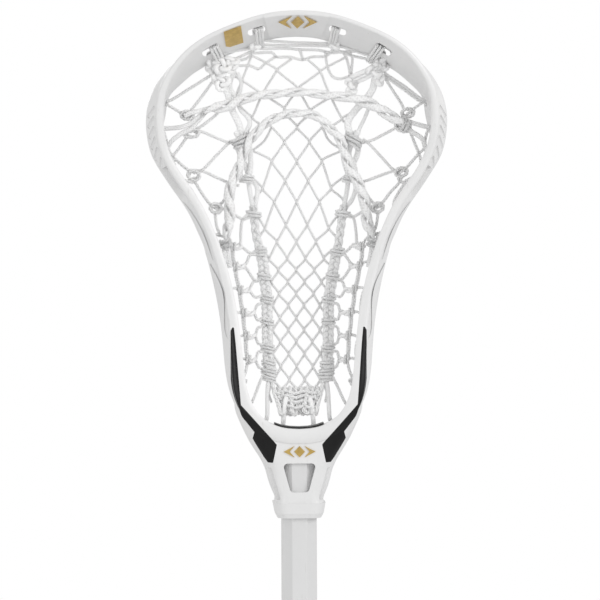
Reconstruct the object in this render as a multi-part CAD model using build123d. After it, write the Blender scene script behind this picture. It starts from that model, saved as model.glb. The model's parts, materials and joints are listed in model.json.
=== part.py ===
from build123d import *

import math
import os

# Lacrosse stick, millimetres. +Z runs up the shaft towards the head, -Y is the front (catching) side,
# and the origin is the centre of the butt cap's flat end. Heights on the head are measured from its
# collar, and w is the distance from the head's middle plane.

# ---- driving dimensions -------------------------------------------------------------------
SHAFT_LENGTH = 813.0        # 32 in shaft
SHAFT_FLATS = 22.2          # across the flats of the octagon, 7/8 in
SHAFT_WALL = 1.5
SHAFT_EDGE = 0.9            # rounding of the octagon's edges
SOCKET_DEPTH = 48.0         # how far the shaft goes into the head
SOCKET_PLAY = 0.15          # per side
CAP_END = 4.0               # solid end of the butt cap
CAP_LENGTH = 44.0
HEAD_LENGTH = 316.6         # collar to scoop tip
SCREW_HEIGHT = 22.0         # head screw above the collar
SCREW_SHANK = 3.9
STRING = 2.2                # sidewall, top and tie strings
RUNNER = 6.4                # braided runners either side of the mesh
SHOOTER = 5.0               # twisted shooting laces
HOLE = 3.4                  # stringing holes in the sidewalls
HOLE_INSET = 6.0            # from the wall's rear edge to its holes
TIE_HOLE = 4.0              # string holes through the throat
SCREW_HOLE = 4.2
SCREW_HEAD = 8.0
SCREW_LENGTH = 9.0
SCREW_SEAT = 13.4           # y of the flat that the screw's head sits on

SHAFT_BOTTOM = CAP_END
SHAFT_TOP = SHAFT_BOTTOM + SHAFT_LENGTH
HEAD_BASE = SHAFT_TOP - SOCKET_DEPTH

# ---- the head's rim ------------------------------------------------------------------------
# Half of the rim's crest line, from the middle of the bowl round to the scoop's tip: (w, height).
RIM = [(0, 51.5), (13, 53), (24, 58.5), (33, 69), (37.9, 84), (40, 101), (42.5, 124), (47, 149),
       (54.4, 174.5), (66.5, 200), (78.9, 218.5), (86.2, 237), (87.3, 251), (84.7, 269), (79.7, 278.8),
       (70, 291), (58.3, 300), (42, 307.6), (22, 314.2), (0, HEAD_LENGTH)]

# Each profile is (height, value), joined by a smooth curve.
CREST_Y = [(51, -15), (75, -13.8), (100, -10.5), (140, -6), (180, -3.5), (220, -4), (250, -7.5),
           (280, -12.5), (300, -16.5), (318, -20)]
WALL_DEPTH = [(51, 26), (80, 25), (140, 27), (180, 29), (220, 30), (250, 31), (280, 31.5), (300, 31),
              (318, 29)]
CREST_HALF = [(51, 4.6), (110, 4.9), (145, 4.7), (176, 4.0), (230, 3.8), (256, 3.2), (280, 2.1), (300, 1.6),
              (318, 1.4)]
CREST_OUT = [(51, 4.4), (80, 3.6), (100, 2.4), (130, 1.7), (225, 1.5), (262, 1.7), (280, 1.9), (300, 1.6),
             (318, 1.4)]
REAR_OUTER = [(51, 2), (70, 4.5), (86, 6), (148, 6), (178, 5), (205, 5.4), (230, 6), (254, 6), (268, 4),
              (280, 0.5), (290, -4), (300, -8), (318, -12.5)]
REAR_INNER = [(51, -3), (70, 0.5), (86, 1.5), (234, 1.5), (241, -1), (247, -4.4), (253, -4.8), (258, -4.6),
              (264, -5), (272, -7.4), (280, -9.4), (290, -12.2), (300, -14.4), (311, -15), (318, -13.9)]
SIDE_WALL = [(51, 0), (80, 0.6), (100, 1), (225, 1), (250, 0.8), (268, 0.3), (284, 0), (318, 0)]
GRIP_PAD = [(218, 0), (228, 1.1), (240, 1.6), (256, 1.9), (268, 1.7), (284, 1.5), (291, 0.7), (298, 0)]
CREST_BACK = 4.0                     # where the crest ends and the flange's slope begins, outside
FLANGE_DEPTH, FLANGE = 9.0, 2.5      # the flange's edge, and how far it flares
SHOULDER, SHOULDER_PAD = 0.8, 0.7    # shares of the flange and grip pad left halfway to the channel
CHANNEL = 1.5               # depth of the channel along the stringing holes, outside
RIM_SECTIONS = 31
RIM_SPANS = [0, 12, 30]          # the wall is lofted in spans that end at these sections

# ---- the throat: (height, width, front y, rear y, corner radius) ----------------------------
COLLAR = [(0, 27.4, -13.7, 13.7, 7), (3, 30.6, -15.2, 15.2, 8), (9.5, 33, -15.8, 15.8, 8)]
THROAT = [(9.5, 31.4, -15, 15, 8), (17, 34, -14.4, 14.8, 9), (23.3, 38.6, -14, 14.4, 10),
          (32.8, 44.4, -13.7, 14, 11), (42.2, 55.2, -13.4, 13.4, 11.5), (54.8, 69.4, -13.2, 12.4, 11.5),
          (64, 77.5, -13, 11.6, 11.5), (74, 80.5, -12.6, 11.2, 11), (84, 80, -12, 11, 10.5)]
WINDOW = [(-10.7, 34.6), (10.7, 34.6), (5.6, 16.4), (-5.6, 16.4)]
CHEEK_GROOVE = [(21.6, 33), (17.4, 31.5), (11.6, 11.5), (15.6, 11.5)]
GROOVE_FLOOR = -9.5

# ---- the walls' recesses and grips --------------------------------------------------------------
# Each recess between crest and flange: (height, its inner side outward from the crest line, width,
# depth of its floor inside, depth of its floor outside).
UPPER_RECESS = [(163, 1.9, 1.0, 4.4, 5.9), (168, 1.7, 1.4, 4.6, 6.6), (184, 1.7, 1.6, 5.0, 7.1),
                (193, 1.7, 2.4, 6.0, 8.2), (201, 1.7, 3.5, 8.0, 9.5), (208, 1.7, 4.8, 9.4, 9.2),
                (215, 1.7, 6.6, 9.4, 8.6), (222, 1.7, 8, 9, 8)]
LOWER_RECESS = [(161, 4.6, 0.8, 8.6, 9.9), (157, 3.4, 1.1, 7.0, 8.6), (152, 1.9, 1.3, 4.6, 6.8),
                (130, 1.9, 1.3, 4.4, 6.4), (113, 2.1, 1.1, 3.6, 5.4)]
GRIP_GROOVES = 6
GRIP_FROM, GRIP_STEP = 224.4, 6.1
GRIP_GROOVE = (9.5, 1.3, 1.15)       # length, the cutter's radius, and how deep it is sunk
GRIP_DEPTH, GRIP_LEAN = 6.6, 42      # the groove's middle, and its lean towards the crest
GRIP_SLOPE = (4.6, 5.0)              # run of the flange's front face: outward and back
CAP_GROOVES = [19, 24, 29, 34]
CAP_GROOVE = (1.4, 13.2)             # width, and radius of the groove's floor

# ---- trim: outlines as (w, height) -----------------------------------------------------------
INLAY = [(41.6, 120), (42.8, 118), (42.8, 72.5), (28.2, 54.4), (29.8, 48.6), (19.8, 35.2), (16.6, 35),
         (14.2, 46.4), (17.4, 50.2), (36.6, 71.6), (39.6, 110), (40.6, 120)]
BADGE = [(-46.3, 304.6), (-35.6, 308.2), (-33.4, 297.8), (-39, 295.4), (-44.6, 296.2)]
SCOOP_MARK = (310.6, 24, 7)      # middle height, width, height
THROAT_MARK = (42, 20, 7)
PAD_TOP = [(15.5, 59.9), (11, 58.4), (6, 57.5), (0, 57.2)]
PAD_FRONT, PAD_REAR = -11.0, -1.0
PANEL = [(-22, 316), (20.5, 316), (16, 302.6), (-17.5, 302.6)]
PANEL_RISE = (0, -0.5, -0.5)
INLAY_SIDE = [(-40, 20), (-10, 20), (-9.5, 60), (-3.2, 125),
              (-40, 125)]     # (y, height): how deep it is let in
BADGE_THICK = 0.6

# ---- the stringing ---------------------------------------------------------------------------
WALL_HOLES = [262, 245, 230, 212, 195, 178, 160, 143, 127, 112, 98, 84]
SLOTS = [(27.5, 11.5), (58, 11.5)]     # w of each scoop slot's middle, and its length
SLOT_HEIGHT = 3.6
SLOT_INSET = 7.2
TIES = [(9.5, 58.5, 0.0), (20, 62, 0.15), (30, 71.5, 0.5)]    # w, height and outward lean of each tie hole
TIE_START_Y = 4.0
TIE_REACH = 15.5            # from a tie hole's start to the knot behind the throat
POCKET_LOW, POCKET_HIGH = 56.0, 300.0
POCKET_BULGE = 36.0
NET = 1.8                   # thickness of the net panels
NET_GAP = 2.4               # between a net panel and the runner beside it
WALL_GAP = 5.5              # between a net panel and the rim's crest line
STITCH_IN, STITCH_OUT = -2.0, 4.0     # how far the sidewall string stands in and out from the crest line
IN_FRONT = 6.4              # the shooting strings lie this far in front of the net
GATHER = 73.0
GATHER_SIZE, GATHER_EDGE = (28, 8, 15), 3.2
GATHER_OUT = 5.0            # how far its middle stands in front of the net
MESH_HEIGHTS = [83, 92, 110, 135, 165, 195, 215, 232, 245, 256, 268, 281]
LACING_HEIGHTS = [93, 115, 140, 165, 190, 210, 228, 245, 266]
RUNNER_LINE = [(48.5, 281.5), (45.5, 269), (40, 257), (34.5, 245), (32.5, 231), (31.6, 215), (28.6, 199),
               (25, 181), (21, 162), (19.3, 147), (18.4, 128), (17.6, 108), (17.9, 90)]
UPPER_SHOOTER = [(-83, 240), (-76, 241.5), (-70, 245.5), (-58, 253), (-45, 258.2), (-33, 263.6),
                 (-20, 265.3), (0, 267.8), (14, 266.2), (27, 265.1), (36, 263.9), (49, 260.6), (60, 252),
                 (70, 246.8), (76, 242.2), (83, 240)]
LOWER_SHOOTER = [(-43.5, 156), (-45, 178), (-43.5, 190), (-41, 201), (-37.5, 213), (-32, 227), (-29, 240),
                 (-22, 248.5), (-14, 252), (-4, 254), (9, 253.2), (18, 248.6), (24, 243.2), (29, 235),
                 (34, 224), (38, 213), (41, 201), (43.5, 190), (45, 178), (46.5, 166)]
TOP_LINE = [(-51, 285), (-38, 292.4), (-25, 295), (-8, 296), (10, 295.6), (26, 295.2), (39, 291.8),
            (52, 284.5)]


def profile(table, height):
    """The value at a height of a smooth curve through a table's points."""
    if height <= table[0][0]:
        return table[0][1]
    if height >= table[-1][0]:
        return table[-1][1]
    i = max(k for k, (h, _) in enumerate(table) if h <= height)
    (h0, v0), (h1, v1) = table[i], table[i + 1]

    def slope(k):
        if k <= 0 or k >= len(table) - 1:
            return 0.0
        left = (table[k][1] - table[k - 1][1]) / (table[k][0] - table[k - 1][0])
        right = (table[k + 1][1] - table[k][1]) / (table[k + 1][0] - table[k][0])
        return 0.0 if left * right <= 0 else 2 * left * right / (left + right)

    span = h1 - h0
    t = (height - h0) / span
    return ((2 * t**3 - 3 * t**2 + 1) * v0 + (t**3 - 2 * t**2 + t) * span * slope(i)
            + (3 * t**2 - 2 * t**3) * v1 + (t**3 - t**2) * span * slope(i + 1))


def rim_half_width(height):
    return profile([(h, w) for w, h in RIM], height)


def hole_y(height):
    """How far back the stringing holes lie."""
    return profile(CREST_Y, height) + profile(WALL_DEPTH, height) - HOLE_INSET


def pocket_y(w, height):
    """The pocket's surface: it hangs from the walls' rear edges and is deepest on the middle line."""
    share = min(1.0, abs(w) / rim_half_width(height))
    low = max(0.0, min(1.0, (height - POCKET_LOW) / (POCKET_HIGH - POCKET_LOW)))
    middle = 3 + 6 * low + POCKET_BULGE * math.sin(math.pi * low**0.95)
    side = hole_y(height)
    return side + (middle - side) * (1 - share**1.6)


def prism(outline, front, rear, rounding=0.0):
    """An outline of (w, height) points, extruded along Y."""
    face = Polygon(*outline, align=None)
    if rounding:
        face = fillet(face.vertices(), rounding)
    plane = Plane(origin=(0, front, HEAD_BASE), x_dir=(1, 0, 0), z_dir=(0, -1, 0))
    return extrude(plane * face, amount=rear - front, dir=(0, 1, 0))


def both_sides(shape):
    return shape, mirror(shape, about=Plane.YZ)


# ---- cords -----------------------------------------------------------------------------------
def cord_radii(points):
    """Each corner's radius, as large as its two runs allow."""
    radii = []
    for before, here, after in zip(points, points[1:], points[2:]):
        into, out = Vector(here) - Vector(before), Vector(after) - Vector(here)
        half_turn = math.radians(into.get_angle(out)) / 2
        radii.append(0.45 * min(into.length, out.length) / math.tan(half_turn))
    return radii


def cord(name, points, diameter):
    """A round cord along straight runs and tangent arcs."""
    radii = cord_radii(points)
    route = FilletPolyline(*points, radius=radii)
    solid = sweep(Plane(origin=route @ 0, z_dir=route % 0) * Circle(diameter / 2), path=route)
    expected = route.length * math.pi * diameter**2 / 4
    print(f"{name}: {route.length:.0f} mm long, radii {[round(r, 1) for r in radii]}, "
          f"volume {solid.volume / expected:.3f} of section x length")
    return solid


def on_pocket(line, forward=0.0):
    """A route's (w, height) points laid on the pocket, or that far in front of it."""
    return [(w, pocket_y(w, h) - forward, HEAD_BASE + h) for w, h in line]


# ---- the head's frame --------------------------------------------------------------------------
def rim_path():
    """The closed crest line: from the right wall down to the bowl, up the left side, and over the scoop."""
    left = [(-w, 0, HEAD_BASE + h) for w, h in RIM]
    right = [(w, 0, HEAD_BASE + h) for w, h in reversed(RIM[1:-1])]
    start = len(right) // 2
    return Spline(*right[start:], *left, *right[:start], periodic=True)


PATH = rim_path()


def path_share(low, high, passed):
    """The share of the crest line, between two others, at which a test on the point turns true."""
    for _ in range(40):
        middle = (low + high) / 2
        if passed(PATH @ middle):
            high = middle
        else:
            low = middle
    return low


BOWL = path_share(0.0, 0.5, lambda point: point.X < 0)      # the bowl's middle
TIP = path_share(BOWL + 0.4, BOWL + 0.6, lambda point: point.X > 0)     # the scoop's tip


def rim_share(height):
    """The share of the crest line at which its left side passes a height."""
    return path_share(BOWL, TIP, lambda point: point.Z - HEAD_BASE > height)


def wall_plane(t, depth):
    """A plane on the wall, facing outward: its origin is on the crest line, moved back by a depth."""
    point, along = PATH @ t, PATH % t
    if t in (BOWL, TIP):
        point, along = Vector(0, 0, point.Z), Vector(round(along.X), 0, 0)
    origin = Vector(point.X, profile(CREST_Y, point.Z - HEAD_BASE) + depth, point.Z)
    return Plane(origin=origin, x_dir=Vector(along.X, 0, along.Z), z_dir=Vector(-along.Z, 0, along.X))


def wall_point(t, outward, depth):
    plane = wall_plane(t, depth)
    return plane.origin + plane.z_dir * outward


def wall_section(t):
    """The wall's outline: a rounded crest, a flange outside, the rear edge and a plain inner side."""
    height = (PATH @ t).Z - HEAD_BASE
    deep, half, out = profile(WALL_DEPTH, height), profile(CREST_HALF, height), profile(CREST_OUT, height)
    outer, inner = profile(REAR_OUTER, height), profile(REAR_INNER, height)
    side, pad = profile(SIDE_WALL, height), profile(GRIP_PAD, height)

    def outside(depth, extra):
        return wall_point(t, out + (outer - out) * depth / deep + extra, depth)

    front_in, front_out = wall_point(t, -half, 1.0), wall_point(t, out, 1.0)
    rear_out, rear_in = outside(deep, -0.6 * side), wall_point(t, inner, deep)
    dish = wall_point(t, (inner - half) / 2 + 1.9 * side - 0.8 * (1 - side), deep / 2)
    crest = Spline(front_in, wall_point(t, -half * 0.6, 0.1), wall_point(t, out * 0.5, 0.1), front_out)
    channel = deep - HOLE_INSET
    flange = outside(FLANGE_DEPTH, FLANGE * side + pad)
    shoulder = outside((FLANGE_DEPTH + channel) / 2, SHOULDER * FLANGE * side + SHOULDER_PAD * pad)
    outer_side = Spline(front_out, outside(CREST_BACK, 0), flange, shoulder,
                        outside(channel, -CHANNEL * side), rear_out)
    return Face(Wire([crest, outer_side, Line(rear_out, rear_in), Spline(rear_in, dish, front_in)]))


def rim_ring():
    shares = [BOWL + (TIP - BOWL) * k / (RIM_SECTIONS - 1) for k in range(RIM_SECTIONS - 1)] + [TIP]
    sections = [wall_section(t) for t in shares]
    halves = [loft(sections[a:b]) for a, b in zip(RIM_SPANS, [n + 1 for n in RIM_SPANS[1:]])]
    left = halves[0] + halves[1:]
    return left + mirror(left, about=Plane.YZ)


def block_section(height, width, front, rear, rounding):
    centre = Plane(origin=(0, (front + rear) / 2, HEAD_BASE + height))
    return centre * RectangleRounded(width, rear - front, rounding)


def octagon(flats, z_from, z_to, rounding=0.0):
    corner = flats / 2 / math.cos(math.pi / 8)
    face = RegularPolygon(corner, 8, rotation=22.5)
    if rounding:
        face = fillet(face.vertices(), rounding)
    return extrude(Plane.XY.offset(z_from) * face, amount=z_to - z_from)


def bowl_space():
    """What the ball rolls into at the bottom of the rim, from the front right through to the back."""
    edge = [wall_point(rim_share(h), -2.0, 0) for h in (52, 54, 58.5, 69, 84, 101)]
    outline = [(0, 53.5)] + [(point.X, point.Z - HEAD_BASE) for point in edge]
    curve = Spline(*outline, tangents=[(-1, 0), (0, 1)])
    half = make_face(curve + Polyline(outline[-1], (0, outline[-1][1]), outline[0]))
    plane = Plane(origin=(0, -40, HEAD_BASE), x_dir=(1, 0, 0), z_dir=(0, -1, 0))
    return extrude(plane * half, amount=80, dir=(0, 1, 0))


def throat():
    collar = loft([block_section(*row) for row in COLLAR], ruled=True)
    body = loft([block_section(*row) for row in THROAT])
    for space in both_sides(bowl_space()):
        body -= space
    return collar + body


def recess(table):
    """A recess along the left wall, between crest and flange."""
    sections = []
    for height, inside, width, floor_in, floor_out in table:
        t = rim_share(height)
        corners = [(inside, -3), (inside + width, -3), (inside + width, floor_out), (inside, floor_in)]
        sections.append(Face(Wire(Polyline(*[wall_point(t, n, d) for n, d in corners], close=True).edges())))
    return loft(sections)


def wall_cutters():
    """The left wall's stringing holes, recesses and grip grooves."""
    cutters = []
    for height in WALL_HOLES:
        plane = wall_plane(rim_share(height), profile(WALL_DEPTH, height) - HOLE_INSET)
        cutters.append(plane * Cylinder(HOLE / 2, 30))
    cutters += [recess(UPPER_RECESS), recess(LOWER_RECESS)]
    out, back = GRIP_SLOPE
    length, radius, sunk = GRIP_GROOVE
    for k in range(GRIP_GROOVES):
        height = GRIP_FROM + GRIP_STEP * k
        start, outer = profile(CREST_OUT, height), profile(REAR_OUTER, height)
        base = start + (outer - start) * GRIP_DEPTH / profile(WALL_DEPTH, height)
        rise = (FLANGE * profile(SIDE_WALL, height) + profile(GRIP_PAD, height)) / 2
        plane = wall_plane(rim_share(height), GRIP_DEPTH).offset(base + rise)
        facing = (plane.z_dir * back + Vector(0, -out, 0)).normalized()
        inward = (plane.z_dir * out + Vector(0, back, 0)).normalized() * -math.sin(math.radians(GRIP_LEAN))
        along = plane.x_dir * math.cos(math.radians(GRIP_LEAN)) + inward
        place = Plane(origin=plane.origin + facing * (radius - sunk), x_dir=along, z_dir=facing)
        cutters.append(place * Cylinder(radius, length, rotation=(0, 90, 0)))
    return cutters


def slot_share(w):
    return path_share(rim_share(270), TIP, lambda point: point.X > -w)


def scoop_slot(w, length):
    """One slot through the left half of the scoop, along Y."""
    t = slot_share(w)
    along = PATH % t
    plane = Plane(origin=wall_point(t, -SLOT_INSET, 0), x_dir=(along.X, 0, along.Z), z_dir=(0, -1, 0))
    return extrude(plane * SlotOverall(length, SLOT_HEIGHT), amount=50, both=True)


def tie_line(w, height, lean):
    """Where one of the left tie holes starts in the bowl, and its direction out through the throat's back."""
    return Vector(-w, TIE_START_Y, HEAD_BASE + height), Vector(-lean, 0.8, -0.6).normalized()


def head_blank():
    """The head before its trim is let in."""
    blank = rim_ring() + throat()
    blank += prism(PANEL, -40, 40) & rim_ring().moved(Location(PANEL_RISE))
    for cutter in wall_cutters() + [scoop_slot(*row) for row in SLOTS]:
        for side in both_sides(cutter):
            blank -= side
    for row in TIES:
        start, out = tie_line(*row)
        for side in both_sides(Plane(origin=start, z_dir=out) * Cylinder(TIE_HOLE / 2, 34)):
            blank -= side
    blank -= octagon(SHAFT_FLATS + 2 * SOCKET_PLAY, HEAD_BASE - 1, HEAD_BASE + SOCKET_DEPTH)
    blank -= prism(WINDOW, -40, -3, 2.5)
    for side in both_sides(prism(CHEEK_GROOVE, -40, GROOVE_FLOOR, 1.2)):
        blank -= side
    screw_axis = Plane(origin=(0, SCREW_SEAT, HEAD_BASE + SCREW_HEIGHT), z_dir=(0, 1, 0))
    blank -= screw_axis * Cylinder(SCREW_HOLE / 2, 20)
    blank -= extrude(screw_axis * Circle(SCREW_HEAD / 2 + 0.7), amount=20)
    return blank


# ---- trim on the head ---------------------------------------------------------------------------
def inlay(blank):
    """The left black strip, let into the rim's front and the throat."""
    slab = Plane.YZ * Polygon(*INLAY_SIDE, align=None)
    slab = extrude(slab, amount=60, both=True).moved(Location((0, 0, HEAD_BASE)))
    left = [(-w, h) for w, h in INLAY]
    return blank & prism(left, -40, 0, 0.5) & slab


def raised(blank, outline, thickness):
    """A thin badge of an outline, on the front of the head."""
    skin = blank.moved(Location((0, -thickness, -thickness * 0.8)))
    return (skin & prism(outline, -40, 0)) - blank


def mark_outlines(middle, width, height):
    """A plain mark: a diamond with a dart on each side of it."""
    half, reach = height / 2, width / 2
    diamond = [(-0.34 * reach, middle), (0, middle + half), (0.34 * reach, middle), (0, middle - half)]
    dart = [(0.32 * reach, middle + half), (reach, middle), (0.32 * reach, middle - half),
            (0.62 * reach, middle)]
    return [diamond, dart, [(-w, h) for w, h in dart]]


def emblem(blank, mark):
    return Compound(children=[raised(blank, outline, BADGE_THICK) for outline in mark_outlines(*mark)])


def ball_stop(blank):
    """The soft pad on the bowl's floor."""
    upper = [(-w, h) for w, h in PAD_TOP] + [(w, h) for w, h in reversed(PAD_TOP[:-1])]
    return prism(upper + [(PAD_TOP[0][0], 50), (-PAD_TOP[0][0], 50)], PAD_FRONT, PAD_REAR) - blank


# ---- shaft, cap and screw -------------------------------------------------------------------------
def shaft():
    tube = octagon(SHAFT_FLATS, SHAFT_BOTTOM, SHAFT_TOP, SHAFT_EDGE)
    tube -= octagon(SHAFT_FLATS - 2 * SHAFT_WALL, SHAFT_BOTTOM - 1, SHAFT_TOP + 1, SHAFT_EDGE)
    hole = Plane(origin=(0, 0, HEAD_BASE + SCREW_HEIGHT), z_dir=(0, 1, 0)) * Circle(SCREW_HOLE / 2)
    return tube - extrude(hole, amount=20)


def end_cap():
    profile_line = Polyline((0, 0), (14.4, 0), (15, 0.8), (15, 9), (13.9, 13), (13.7, CAP_LENGTH - 1),
                            (13.0, CAP_LENGTH), (0, CAP_LENGTH), (0, 0))
    cap = revolve(Plane.XZ * make_face(profile_line), axis=Axis.Z)
    width, floor = CAP_GROOVE
    for height in CAP_GROOVES:
        groove = Plane.XY.offset(height) * (Circle(16) - Circle(floor))
        cap -= extrude(groove, amount=width)
    return cap - octagon(SHAFT_FLATS + 2 * SOCKET_PLAY, CAP_END, CAP_LENGTH + 1)


def head_screw():
    seat = Plane(origin=(0, SCREW_SEAT + 0.05, HEAD_BASE + SCREW_HEIGHT), z_dir=(0, 1, 0))
    head = extrude(seat * Circle(SCREW_HEAD / 2), amount=2.6)
    head = fillet(head.faces().sort_by(Axis.Y)[-1].edges(), 1.1)
    shank = extrude(seat * Circle(SCREW_SHANK / 2), amount=-SCREW_LENGTH)
    top = seat.offset(1.2)
    drive = extrude(top * Rectangle(4.2, 0.9), amount=3) + extrude(top * Rectangle(0.9, 4.2), amount=3)
    return head + shank - drive


# ---- stringing ---------------------------------------------------------------------------------------
def runner_w(height):
    return profile([(h, w) for w, h in reversed(RUNNER_LINE)], height)


def net_panel(heights, edges):
    """A thin closed sheet on the pocket, between two edges at each height."""
    sections = []
    for height in heights:
        near, far = edges(height)
        middle = [near + (far - near) * k / 4 for k in range(5)]
        front = [(w, pocket_y(w, height) - NET / 2, HEAD_BASE + height) for w in middle]
        rear = [(x, y + NET, z) for x, y, z in reversed(front)]
        sections.append(Face(Wire([Spline(*front), Line(front[-1], rear[0]), Spline(*rear),
                                   Line(rear[-1], front[0])])))
    return loft(sections)


def mesh_edges(height):
    reach = runner_w(height) - RUNNER / 2 - NET_GAP
    return -reach, reach


def lacing_edges(height):
    return -rim_half_width(height) + WALL_GAP, -runner_w(height) - RUNNER / 2 - NET_GAP


def sidewall_route():
    """The left sidewall string: a running stitch in and out of the wall's holes."""
    points = []
    for k, height in enumerate(WALL_HOLES):
        t, depth = rim_share(height), profile(WALL_DEPTH, height) - HOLE_INSET
        inside, outside = wall_point(t, STITCH_IN, depth), wall_point(t, STITCH_OUT, depth)
        points += [inside, outside] if k % 2 == 0 else [outside, inside]
    return [tuple(p) for p in points]


def scoop_loop(w):
    """The string's turn through a scoop slot and round the scoop's rear edge, on the left."""
    t = slot_share(w)
    height = (PATH @ t).Z - HEAD_BASE
    deep, half = profile(WALL_DEPTH, height), profile(CREST_HALF, height)
    outer, inner = profile(REAR_OUTER, height), profile(REAR_INNER, height)
    face = deep * (SLOT_INSET - half) / (-inner - half)
    back = deep * (SLOT_INSET + half) / (half - outer)
    corners = [(-SLOT_INSET, face - 4.6), (inner - 3.3, deep - 0.5), (inner + 1.5, deep + 4.6),
               (-SLOT_INSET, back + 4.6)]
    route = FilletPolyline(*[tuple(wall_point(t, n, d)) for n, d in corners], radius=2.5, close=True)
    return sweep(Plane(origin=route @ 0, z_dir=route % 0) * Circle(STRING / 2), path=route)


def top_string():
    string = cord("top_string", on_pocket(TOP_LINE), STRING)
    for w, _ in SLOTS:
        for loop in both_sides(scoop_loop(w)):
            string += loop
    return string


def tie(name, start, row, diameter):
    """A left string from the net down through a throat hole, with its knot behind the throat."""
    hole, out = tie_line(*row)
    end = hole + out * TIE_REACH
    string = cord(name, [start, tuple(hole - out * 1.5), tuple(end)], diameter)
    return string + Sphere(diameter).moved(Location(end))


def gather():
    """The bunched end of the mesh, above the ball stop."""
    block = fillet(Box(*GATHER_SIZE).edges(), GATHER_EDGE)
    return block.moved(Location((0, pocket_y(0, GATHER) - GATHER_OUT, HEAD_BASE + GATHER)))


def save(name, shape):
    shape.label = name
    print(f"{name}: {len(shape.solids())} solid, valid {shape.is_valid}, {shape.volume:.0f} mm3", flush=True)
    export_step(shape, f"parts/{name}.step")


def save_pair(name, left):
    for side, shape in zip(("left", "right"), both_sides(left)):
        save(f"{name}_{side}", shape)


if __name__ == "__main__":
    os.makedirs("parts", exist_ok=True)
    blank = head_blank()
    left_inlay = inlay(blank)
    frame = blank
    for side in both_sides(left_inlay):
        frame -= side
    save("head_frame", frame)
    save_pair("inlay", left_inlay)
    save("badge", raised(blank, BADGE, BADGE_THICK))
    save("scoop_emblem", emblem(blank, SCOOP_MARK))
    save("throat_emblem", emblem(blank, THROAT_MARK))
    save("ball_stop_pad", ball_stop(blank))
    save("shaft", shaft())
    save("end_cap", end_cap())
    save("head_screw", head_screw())

    save("centre_mesh", net_panel(MESH_HEIGHTS, mesh_edges))
    save_pair("side_lacing", net_panel(LACING_HEIGHTS, lacing_edges))
    save_pair("runner", cord("runner", on_pocket([(-w, h) for w, h in RUNNER_LINE]), RUNNER))
    save("upper_shooting_string", cord("upper_shooting_string", on_pocket(UPPER_SHOOTER, IN_FRONT), SHOOTER))
    save("lower_shooting_string", cord("lower_shooting_string", on_pocket(LOWER_SHOOTER, IN_FRONT), SHOOTER))
    save("top_string", top_string())
    save_pair("sidewall_string", cord("sidewall_string", sidewall_route(), STRING))
    save("mesh_gather", gather())
    gather_foot = (-9, pocket_y(0, GATHER) - GATHER_OUT, HEAD_BASE + 67)
    save_pair("mesh_tie", tie("mesh_tie", gather_foot, TIES[0], STRING))
    save_pair("runner_tail", tie("runner_tail", on_pocket([(-18, 89)])[0], TIES[1], 3.2))
    save_pair("outer_tail", tie("outer_tail", on_pocket([(-20, 90)])[0], TIES[2], STRING))
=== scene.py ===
import json
import math
import random

import bpy
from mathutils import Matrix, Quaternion, Vector


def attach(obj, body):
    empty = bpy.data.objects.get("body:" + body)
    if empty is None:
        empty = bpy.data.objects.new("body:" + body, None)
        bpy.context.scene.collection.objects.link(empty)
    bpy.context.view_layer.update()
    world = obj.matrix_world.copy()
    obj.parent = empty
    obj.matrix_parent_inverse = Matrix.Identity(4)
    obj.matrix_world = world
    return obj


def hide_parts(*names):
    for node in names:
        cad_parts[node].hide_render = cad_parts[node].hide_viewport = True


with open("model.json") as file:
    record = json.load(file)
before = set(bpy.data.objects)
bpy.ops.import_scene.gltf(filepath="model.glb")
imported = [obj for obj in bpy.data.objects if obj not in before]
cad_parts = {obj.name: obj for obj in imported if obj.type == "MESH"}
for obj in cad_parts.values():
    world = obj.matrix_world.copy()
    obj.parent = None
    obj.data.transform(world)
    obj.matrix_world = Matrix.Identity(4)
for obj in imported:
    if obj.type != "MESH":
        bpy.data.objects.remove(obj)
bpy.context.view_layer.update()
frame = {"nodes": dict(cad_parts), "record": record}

random.seed(11)

# Shapes are in millimetres until a mesh is made. Finishes, floor, lights and camera are in metres.
# Heights are measured from the head's collar, and w is the distance from the head's middle plane.
MM = 0.001
HEAD_BASE = 769.0
FRONT = Vector((0, -1, 0))

# ---- the head's shape, as in the CAD model ----
RIM = [
    (51.5, 0), (53, 13), (58.5, 24), (69, 33), (84, 37.9), (101, 40), (124, 42.5), (149, 47), (174.5, 54.4),
    (200, 66.5), (218.5, 78.9), (237, 86.2), (251, 87.3), (269, 84.7), (278.8, 79.7), (291, 70), (300, 58.3),
    (307.6, 42), (314.2, 22), (316.6, 0)]
SCOOP = [(w, height) for height, w in reversed(RIM[-7:])]
CREST_Y = [
    (51, -15), (75, -13.8), (100, -10.5), (140, -6), (180, -3.5), (220, -4), (250, -7.5), (280, -12.5),
    (300, -16.5), (318, -20)]
WALL_DEPTH = [
    (51, 26), (80, 25), (140, 27), (180, 29), (220, 30), (250, 31), (280, 31.5), (300, 31), (318, 29)]
WALL_HOLES = [262, 245, 230, 212, 195, 178, 160, 143, 127, 112, 98, 84]
HOLE_INSET = 6.0    # from the wall's rear edge to its holes
STITCH_IN, STITCH_OUT = -2.0, 4.0    # where a stitch runs, outward from the crest line
STITCH_RUN = 4.0    # how far an outside stitch lies flat beyond its hole


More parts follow.
